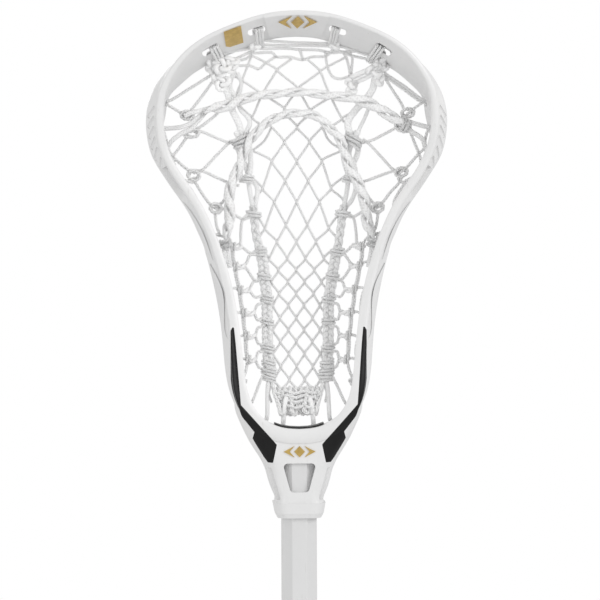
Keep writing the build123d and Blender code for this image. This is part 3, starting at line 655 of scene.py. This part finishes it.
# The upper laces of each side, as (w, height) on the pocket; a bare height is a stringing hole.
UPPER_LACES = {
    -1: [
     [(52.5, 279.5), (67, 270.5), (80.5, 262.5), 262], [(50.5, 278), (58, 267.5), (66.5, 256.5)],
     [262, (82, 260.5), (73.5, 255.5), (66, 251)],
     [(46.5, 258.5), (51, 253.5), (56, 249.5), (61, 246), (66, 244)],
     [(70, 243), (61, 243.5), (52, 240), (43, 236.5), (35.5, 236)],
     [(41, 237.5), (51, 227.5), (59.5, 219), (64, 218)], [(69, 240), (73.5, 233.5), (78, 227), (77, 222)],
     [230, (82, 233), (78, 227.5), (68.5, 219), (64, 217)],
     [(67, 219), (59, 218), (50, 214), (41, 210), (36, 209)], [212, (69, 212), (65.5, 211), (64, 214)],
     [(65.5, 214), (60, 204.5), (54, 196.5), (50, 194)],
     [(49, 197), (47, 198), (44, 202), (41.5, 206), (38, 211)],
     [(52, 195), (47, 194.5), (40, 191), (33.5, 187.5), (28, 189)],
     [(51.5, 192), (50.5, 183), (49, 178), 178],
     [(28, 191), (33.5, 187.5), (35, 179), (35.5, 172), (38, 170)],
     [(37, 171.5), (35.5, 171), (29, 165.8), (23, 167)], [(24, 165), (29, 164.5), (32, 159), (36, 157)],
     [(35, 158), (32, 156.5), (26, 148.5), (20, 150)]],
    1: [
     [(57, 279), (68.5, 271.5), (81, 262.5), 262], [(56, 278), (67.5, 270), (80, 261.5), 262],
     [(56.5, 276.5), (62, 268), (67.5, 259.5), (69, 256)],
     [262, (83, 261.5), (80.5, 261), (74, 256.5), (69, 252)],
     [(68, 247.5), (64.5, 245.5), (56, 241), (49, 237.5), (41.5, 235.5)],
     [(43, 238), (46.5, 235.5), (54.5, 227), (62.5, 218.5), (66, 218)],
     [(71, 246), (72.5, 243), (75.5, 235.5), (78.5, 228), (79.5, 223)],
     [230, (84, 233.5), (79, 229.5), (69, 218.5), (65, 216)],
     [(68, 219), (61.5, 217.5), (53, 214.5), (45, 211.5), (38, 210)],
     [212, (72, 212.5), (67.5, 210.5), (65, 213)],
     [(67.5, 214), (65.5, 210), (60, 204), (55, 197.5), (51, 194)],
     [(50, 197), (48, 199), (45.5, 203), (43, 208)],
     [(53, 195), (48, 194.5), (42, 191.5), (36.5, 188.5), (31, 190)],
     [(52.5, 192), (51, 183), (49.5, 178), 178],
     [(31, 191.5), (36.5, 188.5), (38.5, 179), (39, 172), (41, 170)],
     [(39, 171.5), (37, 171), (31, 165.8), (27, 167)], [(27, 165), (31, 164.5), (35, 159), (38, 157)],
     [(37, 158), (35, 156.5), (29, 148.8), (23, 150)]]}
# Loops where the laces meet: w, height, half width, half height, tilt.
RINGS = {
    -1: [
     (69, 253.5, 3.9, 2.7, 0.1), (66, 242, 4.9, 2.3, -0.25), (65, 215.5, 3.9, 3.0, 0.3),
     (51, 194.5, 3.7, 3.0, 0.3)],
    1: [
     (71, 254.5, 4.0, 2.8, 0.2), (68, 246.5, 5.2, 3.6, -0.5), (67, 217, 3.9, 2.8, 0.2),
     (52, 194.5, 3.7, 3.0, 0.3)]}
# The lower ladder: each bar's height, its outer end's and inner end's w.
LADDER = [
    (170, 41.5, 35), (157.5, 40, 32.5), (142.5, 37, 30), (128, 35, 27), (113.5, 33.5, 26.5),
    (98.5, 32.5, 26.5)]
LADDER_HOLES = [178, 160, 143, 127, 112, 98]
TIED_BELOW = 150    # bars under this height are tied to the rail, above and below
RAIL_TIES = [150.5, 136, 121.5, 105.5, 90.5]
RIGHT_SHIFT = 2.0    # how much further out the right ladder's upper end is


def cross_lace(side):
    """The lacing between a rail and its wall: the upper laces and their loops, and the lower ladder."""
    piece = Piece()

    def spot(point):
        if is_hole(point):
            return hole(side, point, -1.5)
        return at(side * point[0], point[1], 1.2)

    for route in UPPER_LACES[side]:
        piece.rope(smooth([spot(point) for point in route]), STRING, phase=random.uniform(0, 6))
    for w, height, wide, tall, tilt in RINGS[side]:
        piece.ring(at(side * w, height, 2.4), wide, tall, tilt=side * tilt)
        piece.ring(at(side * w, height, 1.0), wide * 0.8, tall * 0.85, tilt=-side * tilt)
    for n, (height, outer, inner) in enumerate(LADDER):
        shift = (RIGHT_SHIFT if side > 0 else 0.0) * max(0.0, (height - 90) / 80)
        outer, inner = outer + shift, inner + shift
        bar = [(outer, height + 0.8, 1.5), ((outer + inner) / 2, height - 0.6, 1.8), (inner, height, 1.5)]
        piece.rope(along(bar, side), 2.0, plies=2, pitch=10, sides=10, phase=n)
        wrap = at(side * (outer - 1.6), height, 1.6)
        piece.coil(wrap, (1, 0, 0.1), wide=2.3, deep=2.3, turns=1.6, gap=1.8, radius=0.9)
        if height < TIED_BELOW:
            for target, sign in ((RAIL_TIES[n - 2], 1), (RAIL_TIES[n - 1], -1)):
                near = rail_w(side, target) + 3.2
                bend = height + sign * 3.4 + (target - height) * 0.2
                link = [(inner + 1.5, height, 1.5), (inner, height + sign * 0.4, 1.4),
                        ((inner + near) / 2 + 0.4, bend, 1), (near, target - sign * 2.2, 1.2),
                        (near - 2.5, target, 1.6)]
                piece.rope(along(link, side, 0.8), STRING * 0.95)
        if n:
            top, top_w = LADDER[n - 1][0], LADDER[n - 1][1] + shift
            middle = ((top_w + outer) / 2 - 0.6, (top + height) / 2, 1)
            post = [(top_w - 1, top, 1), middle, (outer - 1, height, 1)]
            piece.plait(along(post, side, 0.7), 0.75, rise=0.5, turn=5.5, deep=0.55, wide=0.75)
        held = LADDER_HOLES[n]
        middle = at(side * (outer + 1.6), (height + held) / 2 + 1, 0.6)
        route = [hole(side, held, -1.5), middle, at(side * (outer - 1), height + 0.5, 1.2)]
        piece.rope(smooth(route), STRING * 0.9)
    last = LADDER[-1][1]
    route = [at(side * (last - 1), 98, 1), at(side * (last + 0.5), 91, 1), at(side * (last + 2.5), 86.5, 0.5)]
    piece.rope(smooth([*route, hole(side, WALL_HOLES[-1], -1.5)]), STRING)
    name = side_name(side)
    return piece.make(f"cross_lace_{name}", [f"side_lacing_{name}"], LACE_CORD)


# The sidewall string's wraps round the rail, by height, and those at its foot: (height, half width).
RAIL_WRAPS = [213, 190.5, 166.5, 150.5, 136.5, 122, 105.5]
FOOT_WRAPS = [(96, 3.9), (91, 4.4), (87, 3.8)]


def wall_string(side):
    """The sidewall string: a running stitch through the wall's holes, and its wraps round the rail."""
    piece = Piece()
    points = []
    for k, height in enumerate(WALL_HOLES):
        inside, outside = hole(side, height, STITCH_IN), hole(side, height, STITCH_OUT)
        if k % 2 == 0:
            points += [inside, outside, hole(side, height - STITCH_RUN, STITCH_OUT)]
        else:
            points += [hole(side, height + STITCH_RUN, STITCH_OUT), outside, inside]
    piece.rope(smooth(points), STRING)
    piece.knot(hole(side, WALL_HOLES[0], STITCH_IN - 1.5), 2.1, 0.8)
    piece.knot(hole(side, WALL_HOLES[-1], STITCH_IN - 1.5), 2.1, 0.8)
    for n, height in enumerate(RAIL_WRAPS):
        w = rail_w(side, height)
        slope = rail_w(side, height + 3) - rail_w(side, height - 3)
        thick = 4.3 if height > 180 else 3.9
        piece.coil(at(side * w, height, 0.6), (side * slope / 6, 0, 1), wide=thick, deep=3.4, turns=2.2,
                   gap=2.0, radius=1.0, start=math.pi * (0.2 + n % 2), lean=0.5 * side)
    for height, wide in FOOT_WRAPS:
        piece.coil(at(side * rail_w(side, height), height, 0.6), (0, 0, 1), wide, deep=3.5, turns=2.3,
                   gap=2.0, radius=1.05, lean=0.7 * side)
    name = side_name(side)
    return piece.make(f"wall_string_{name}", [f"sidewall_string_{name}"], LACE_CORD)


# ---- shooting laces ----
IN_FRONT = 7.0    # the shooting laces' middle line, in front of the pocket
LOOSER, LOOSE_FROM = 0.3, 45.0    # how much looser the laces get, and by how far out
TAPER_POINTS, TAPER_END = 9, 0.45    # points over which a lace is drawn in, and its share there
# Each lace's middle line: (w, height), w being negative on the left.
UPPER_SHOOTER = [
    (-58, 255.8), (-54, 257.5), (-46, 259), (-40, 261), (-32, 264), (-22.5, 266), (-10, 267), (2.5, 268),
    (15, 266.5), (27.5, 265), (35, 264.3), (42, 262), (48, 259.8), (54.5, 256), (61, 251.8), (67, 248.5),
    (71.5, 245.8)]
# Where the upper lace's ends go: (w, height), or a bare height for a stringing hole.
UPPER_ENDS = {
    -1: [
        [(-53, 258.5), (-60, 256.5), (-67, 254.8), (-70.5, 253)],
        [(-55, 257), (-61, 253), (-67, 248.2), (-73, 246), 245],
        [(-57, 256), (-62, 250), (-66, 245.5), (-73.5, 241.5), (-79, 237), 230]],
    1: [[(66, 250.5), (70, 249.5), (76, 247.5), 245], [(68, 246), (74.5, 242), (80, 238), 230]]}
LOWER_SHOOTER = [
    (-44.5, 174), (-44, 180), (-42.2, 188.5), (-42.5, 199.5), (-42, 206), (-40, 212.5), (-35.5, 222),
    (-32.5, 231.5), (-28, 239), (-21.5, 246), (-16.5, 250), (-10, 252.7), (-3.5, 254.6), (2.5, 254.6),
    (10.5, 253.6), (16.5, 250.3), (22, 245), (28, 238.5), (31, 230), (34.5, 219.5), (39, 212), (42, 204.5),
    (44.2, 196), (45, 186.5), (47, 179), (48, 173)]
LOWER_END_W = {-1: 45.0, 1: 48.5}    # where the lower lace is tied off
LOWER_TAILS = [(-1.8, 157), (1.4, 160)]    # its loose ends: how far out each drifts, and down to where


def shooting_end(piece, side, route):
    """One flat end of the upper lace, on the pocket or out through a hole."""
    points = [hole(side, p, -1.0) if is_hole(p) else at(p[0], p[1], 5.0) for p in route]
    if is_hole(route[-1]):
        points.append(hole(side, route[-1], STITCH_OUT))
    piece.flat(smooth(points, 1.0), 0.9, 1.5)


def upper_lace():
    """The upper shooting lace, from wall to wall, with a wrap near its right end."""
    piece = Piece()
    piece.laces(along([(*point, IN_FRONT) for point in UPPER_SHOOTER], step=1.1), pitch=31, phase=0.6)
    for side in (-1, 1):
        for route in UPPER_ENDS[side]:
            shooting_end(piece, side, route)
    piece.coil(at(69.5, 246.8, IN_FRONT - 1.5), (1, 0, -0.45), wide=3.3, deep=3.0, turns=1.5, gap=2.6,
               radius=1.3, lean=0.6)
    return piece.make("shooting_lace_upper", ["upper_shooting_string"], SHOOTER_CORD)


def lower_lace():
    """The lower, U-shaped shooting lace, tied off on each side."""
    piece = Piece()
    piece.laces(along([(*point, IN_FRONT) for point in LOWER_SHOOTER], step=1.1), pitch=27, phase=2.0)
    for side in (-1, 1):
        w = LOWER_END_W[side]
        piece.coil(at(side * w, 172.5, 5), (side * 0.2, 0, 1), wide=3.2, deep=3.0, turns=1.6, gap=3.0,
                   radius=1.2, lean=0.8)
        piece.knot(at(side * w, 171.5, 6), 3.0, 1.1, tilt=0.5)
        for shift, low in LOWER_TAILS:
            tail = [(w, 173, 5), (w + shift * 0.6, 166, 4.5), (w + shift - 1, low, 3)]
            piece.flat(along(tail, side, 1.0), 0.7, 1.6)
    return piece.make("shooting_lace_lower", ["lower_shooting_string"], SHOOTER_CORD)


# ---- the top string ----
# Each strand, and the one lace at the right: (w, height, how far in front), w negative on the left.
TOP_STRINGS = [
    [(-23, 301, 2), (-18, 300, 2), (-7.5, 299.3, 2), (2.5, 298.8, 2), (20, 298.6, 2), (24, 300, 2)],
    [(-22, 297.5, 2), (-7.5, 297.2, 1), (5.5, 297, 2), (23, 296.6, 1)],
    [(-26, 296, 1), (-21.5, 295.2, 1), (-7.5, 295.4), (2.5, 294.6), (14, 294.2), (22.5, 292.6), (34, 293.4),
     (46, 293, 2)],
    [(-30, 293, 1), (-25.5, 292.5), (-15, 292.6), (-12.5, 290.2), (-4, 290), (4, 288.3), (10, 290),
     (19, 290.6), (24, 295, 1)], [(2, 295, 1), (3.4, 291.5), (4.5, 288)],
    [(-46, 292, 3), (-43, 293, 2), (-35.5, 294.3, 1), (-28, 295.5, 1), (-24, 297, 1)],
    [(-46, 289, 3), (-42, 288, 2), (-31.5, 292, 1), (-26.5, 294.5, 1), (-23, 297, 1)],
    [(-46, 287, 2), (-43, 286.5, 1), (-35.5, 288), (-30.5, 289.5), (-27, 294, 1)],
    [(-45, 285, 2), (-41.5, 284.5, 1), (-29, 284.6), (-23.5, 282.6), (-20, 285.5), (-12.5, 290.5)],
    [(23, 298, 1), (31, 295.6, 1), (45.5, 291, 2), (49, 291, 3)],
    [(24, 295, 1), (34, 291, 1), (47, 288, 2), (50, 287, 3)],
    [(34, 292, 1), (35.5, 290), (35.2, 280), (35, 270.5)],
    [(30, 292.5, 1), (32, 289), (34, 281.5), (34.5, 277.5, 1)],
    [(18.5, 293.5), (19.3, 287), (20.5, 282.5), (23.5, 277.6), (28, 276.2), (34.5, 278, 1)],
    [(-40, 287, 2), (-45, 284, 3), (-50, 281, 2), (-53, 279, 1)], [(50, 291, 2), (54, 285, 3), (57, 279, 1)]]
TOP_LACE = [(33.5, 273.5, 3), (37, 275.8, 4), (44.2, 279, 5), (50.5, 282.8, 6), (55.5, 286.5, 5)]
# The knots under the slots: w, height, how far in front, size, width to height, tilt.
SLOT_KNOTS = {
    -1: [
     (52.5, 288.5, 3, 3.6, 1.3, 0.7), (47.2, 284.5, 5, 4.6, 1.2, 0.6), (53.6, 282.6, 2, 3.0, 0.9, -0.4),
     (41, 287.4, 3, 2.4, 2.0, 0.2), (41.4, 283, 3, 2.4, 1.9, -0.3), (47.4, 274, 3.5, 4.6, 1.2, 0.1),
     (49.8, 286.5, 2.5, 4.2, 1.0, 1.4), (50, 280, 2.5, 3.8, 1.3, 0.3), (26, 297.5, 2, 2.6, 1.1, 0.7)],
    1: [
     (52, 289.5, 3, 3.8, 1.2, 0.5), (54.4, 283.5, 3, 3.4, 1.0, -0.6), (50, 282, 5, 4.4, 1.2, 0.8),
     (52.6, 275.5, 3, 3.4, 0.9, 0.3), (36, 274, 3, 3.2, 1.3, 0.2), (35.5, 269.5, 3, 2.6, 1.3, 0.8),
     (24.5, 297.5, 2, 2.6, 1.1, 0.7)]}
SLOT_LACE = 1.45    # half the thickness of the knots' soft cord
# The turns through each slot: every turn's w, and how far outward its rear end leans.
BUNDLES = [((23.0, 25.1, 27.2), 2.0), ((53.6, 55.7, 57.8), -1.0)]
# A turn round the scoop's rear edge: how far outward from the crest line, and how deep.
BUNDLE_TURN = [
    (-7.0, 9.5), (-9.5, 14.0), (-13.5, 22.5), (-17.3, 30.5), (-15.5, 34.5), (-10, 33), (-6.6, 27), (-6.2, 17)]
TURN_DEPTH = max(deep for _, deep in BUNDLE_TURN)


def scoop_string():
    """The top string: its strands under the scoop, its turns through the slots, and their knots."""
    piece = Piece()
    for route in TOP_STRINGS:
        piece.rope(along(route), STRING * 0.95, phase=random.uniform(0, 6))
    for spread in (-2.1, 0.0, 2.1):
        strand = [(w, height + spread, forward) for w, height, forward in TOP_LACE]
        piece.flat(along(strand, step=1.0), 1.2, 1.7)
    for side in (-1, 1):
        for bundle, lean in BUNDLES:
            for w in bundle:
                turn = [scoop(side, w + lean * deep / TURN_DEPTH, outward, deep)
                        for outward, deep in BUNDLE_TURN]
                piece.rope(smooth(turn, closed=True), STRING, closed=True, phase=random.uniform(0, 6))
        for w, height, forward, size, stretch, tilt in SLOT_KNOTS[side]:
            piece.knot(at(side * w, height, forward), size, SLOT_LACE, stretch, side * tilt, soft=True)
    return piece.make("scoop_string", ["top_string"], LACE_CORD)


# ---- the pocket's lower end ----
# Each kind of tie: its CAD node, its hole's w and height, its lean outward, reach and tail's drift
# behind the throat, and its slot, finish and upper end.
TIES = {
    "net_tie": ("mesh_tie", 9.5, 58.5, 0.0, 15.5, 1.5, "string_cord", LACE_CORD,
                [(7.5, 75, 8), (8.6, 69.5, 7.2)]),
    "rail_tail": ("runner_tail", 20, 62, 0.15, 15.5, 1.5, "runner_braid", RAIL_CORD,
                  [(18, 89, 1.5), (19.2, 78, 2.5)]),
    "outer_cord": ("outer_tail", 30, 71.5, 0.5, 13.0, -3.5, "string_cord", LACE_CORD,
                   [(19.5, 93, 1.0), (24.5, 83, 1.5)])}


def tie(kind, side):
    """A cord from the pocket down through one of the throat's holes to its knot behind."""
    piece = Piece()
    node, w, height, lean, reach, drift, slot, finish, top = TIES[kind]
    start = Vector((side * w, 4.0, HEAD_BASE + height))
    out = Vector((side * lean, 0.8, -0.6)).normalized()
    end = start + out * reach
    top = [at(side * point[0], *point[1:]) for point in top]
    line = smooth([*top, start - out * 2.0, start + out * 5, end])
    if kind == "net_tie":
        piece.tube(line, 0.9, 1.5, sides=10)
    elif kind == "rail_tail":
        piece.tube(line, 0.95, 1.35, sides=10)
    else:
        piece.rope(line, STRING)
    piece.knot(end, 2.5, 1.0)
    tail = [end, end + Vector((side * drift, 1.2, -4)), end + Vector((side * drift * 1.3, 0.6, -8))]
    piece.rope(smooth(tail), 0.95)
    return piece.make(f"{kind}_{side_name(side)}", [f"{node}_{side_name(side)}"], finish)


# The net's bunched end: its loops and their outermost w above and below, each cross cord's height and
# reach, and the cord down each edge.
GATHER_LOOPS, GATHER_TOP, GATHER_LOW = 9, 14.0, 10.6
GATHER_ROWS = [(78, 13.3), (75.5, 12.5), (72.5, 11.8), (69, 11.0)]
GATHER_EDGE = [(16.5, 85.5, 1.5), (15, 79, 4), (12.6, 71, 5), (11, 66, 5), (8, 64.8, 5.5)]


def throat_gather():
    """The net's last loops, drawn together above the ball stop, and the cords woven across them."""
    piece = Piece()
    for n in range(GATHER_LOOPS):
        share = 2 * n / (GATHER_LOOPS - 1) - 1
        jitter = random.uniform(-0.6, 0.6)
        top_w, low_w = share * GATHER_TOP, share * GATHER_LOW
        depth = 5 + 1.8 * math.cos(n * 2.1)
        loop = [(top_w - 1.2, 81, 0.5), (top_w - 1.2, 77.5, depth), (low_w - 1.3, 70 + jitter, depth + 1),
                (low_w - 1.0, 65.6 + jitter, depth), (low_w + 0.6, 64.6 + jitter, depth - 1),
                (low_w + 1.6, 67, depth - 1.5), (low_w + 1.4, 74, depth - 1.5), (top_w + 1.0, 80.5, 0.5)]
        piece.rope(along(loop), 1.25, phase=n)
    for n, (height, reach) in enumerate(GATHER_ROWS):
        sweep = 6.8 + 0.8 * (n % 2)
        row = [(-1, -0.6, 3), (-0.6, 0.8, sweep), (-0.15, -0.7, sweep + 0.8), (0.3, 0.6, sweep + 0.3),
               (0.7, -0.5, sweep), (1, 0.5, 3)]
        piece.rope(along([(reach * w, height + up, forward) for w, up, forward in row]), 1.15, phase=n * 2)
    for side in (-1, 1):
        piece.rope(along(GATHER_EDGE, side), 1.5)
        piece.knot(at(side * 11.5, 76.5, 7), 2.6, 1.0, tilt=0.4)
    return piece.make("throat_gather", ["mesh_gather"], MESH_CORD)


net()
for side in (-1, 1):
    rail(side)
    cross_lace(side)
    wall_string(side)
    for kind in TIES:
        tie(kind, side)
upper_lace()
lower_lace()
scoop_string()
throat_gather()

# ---- floor, light and camera ----
scene = bpy.context.scene
scene.view_settings.view_transform = "Standard"

# The stick is held by its shaft, so the floor leaves room for the butt cap to be pulled off.
FLOOR = -0.046
floor_mesh = bpy.data.meshes.new("studio_floor")
floor_mesh.from_pydata([(-3, -3, FLOOR), (3, -3, FLOOR), (3, 3, FLOOR), (-3, 3, FLOOR)], [], [(0, 1, 2, 3)])
floor = bpy.data.objects.new("studio_floor", floor_mesh)
scene.collection.objects.link(floor)
paper = Finish("studio_paper", Roughness=0.8)
tone = paper.colours(paper.noise(6, 3), (0.3, grey(0.8)), (0.7, grey(0.83)))
floor_mesh.materials.append(paper.wire(tone))

# The surroundings light the stick softly, and are pure white where the camera sees them.
WORLD_LIGHT, WORLD_SEEN = 0.72, 1.0
world = bpy.data.worlds.new("studio")
scene.world = world
world.use_nodes = True
nodes, links = world.node_tree.nodes, world.node_tree.links
soft, seen = nodes["Background"], nodes.new("ShaderNodeBackground")
for background, strength in ((soft, WORLD_LIGHT), (seen, WORLD_SEEN)):
    background.inputs["Color"].default_value = (1, 1, 1, 1)
    background.inputs["Strength"].default_value = strength
mix = nodes.new("ShaderNodeMixShader")
links.new(nodes.new("ShaderNodeLightPath").outputs["Is Camera Ray"], mix.inputs[0])
links.new(soft.outputs[0], mix.inputs[1])
links.new(seen.outputs[0], mix.inputs[2])
links.new(mix.outputs[0], nodes["World Output"].inputs["Surface"])

# Soft square lights that face the head: name, place, size and power.
HEAD_MIDDLE = Vector((0, 0, 0.93))
LAMPS = [("key", (1.2, -1.1, 1.55), 0.7, 9.5), ("fill", (-1.2, -1.4, 1.1), 1.0, 5.5),
         ("back", (-0.5, 1.5, 1.6), 0.9, 4)]
for name, place, size, power in LAMPS:
    data = bpy.data.lights.new(name, "AREA")
    data.size, data.energy = size, power
    light = bpy.data.objects.new(name, data)
    light.location = place
    light.rotation_mode = "QUATERNION"
    light.rotation_quaternion = (HEAD_MIDDLE - Vector(place)).to_track_quat("-Z", "Y")
    scene.collection.objects.link(light)

CAMERA_AZIMUTH, CAMERA_ELEVATION, CAMERA_ROLL = math.radians(-2.5), math.radians(2), math.radians(0.25)
CAMERA_DISTANCE, CAMERA_LENS, CAMERA_SENSOR = 2.2, 209.5, 36
CAMERA_AIM = Vector((0.0013, 0, 0.9057))
back = Vector((math.sin(CAMERA_AZIMUTH) * math.cos(CAMERA_ELEVATION),
               -math.cos(CAMERA_AZIMUTH) * math.cos(CAMERA_ELEVATION), math.sin(CAMERA_ELEVATION)))
camera_data = bpy.data.cameras.new("camera")
camera_data.lens = CAMERA_LENS
camera_data.sensor_width = CAMERA_SENSOR
camera = bpy.data.objects.new("camera", camera_data)
scene.collection.objects.link(camera)
camera.location = CAMERA_AIM + back * CAMERA_DISTANCE
camera.rotation_mode = "QUATERNION"
camera.rotation_quaternion = (-back).to_track_quat("-Z", "Y") @ Quaternion((0, 0, 1), -CAMERA_ROLL)
scene.camera = camera
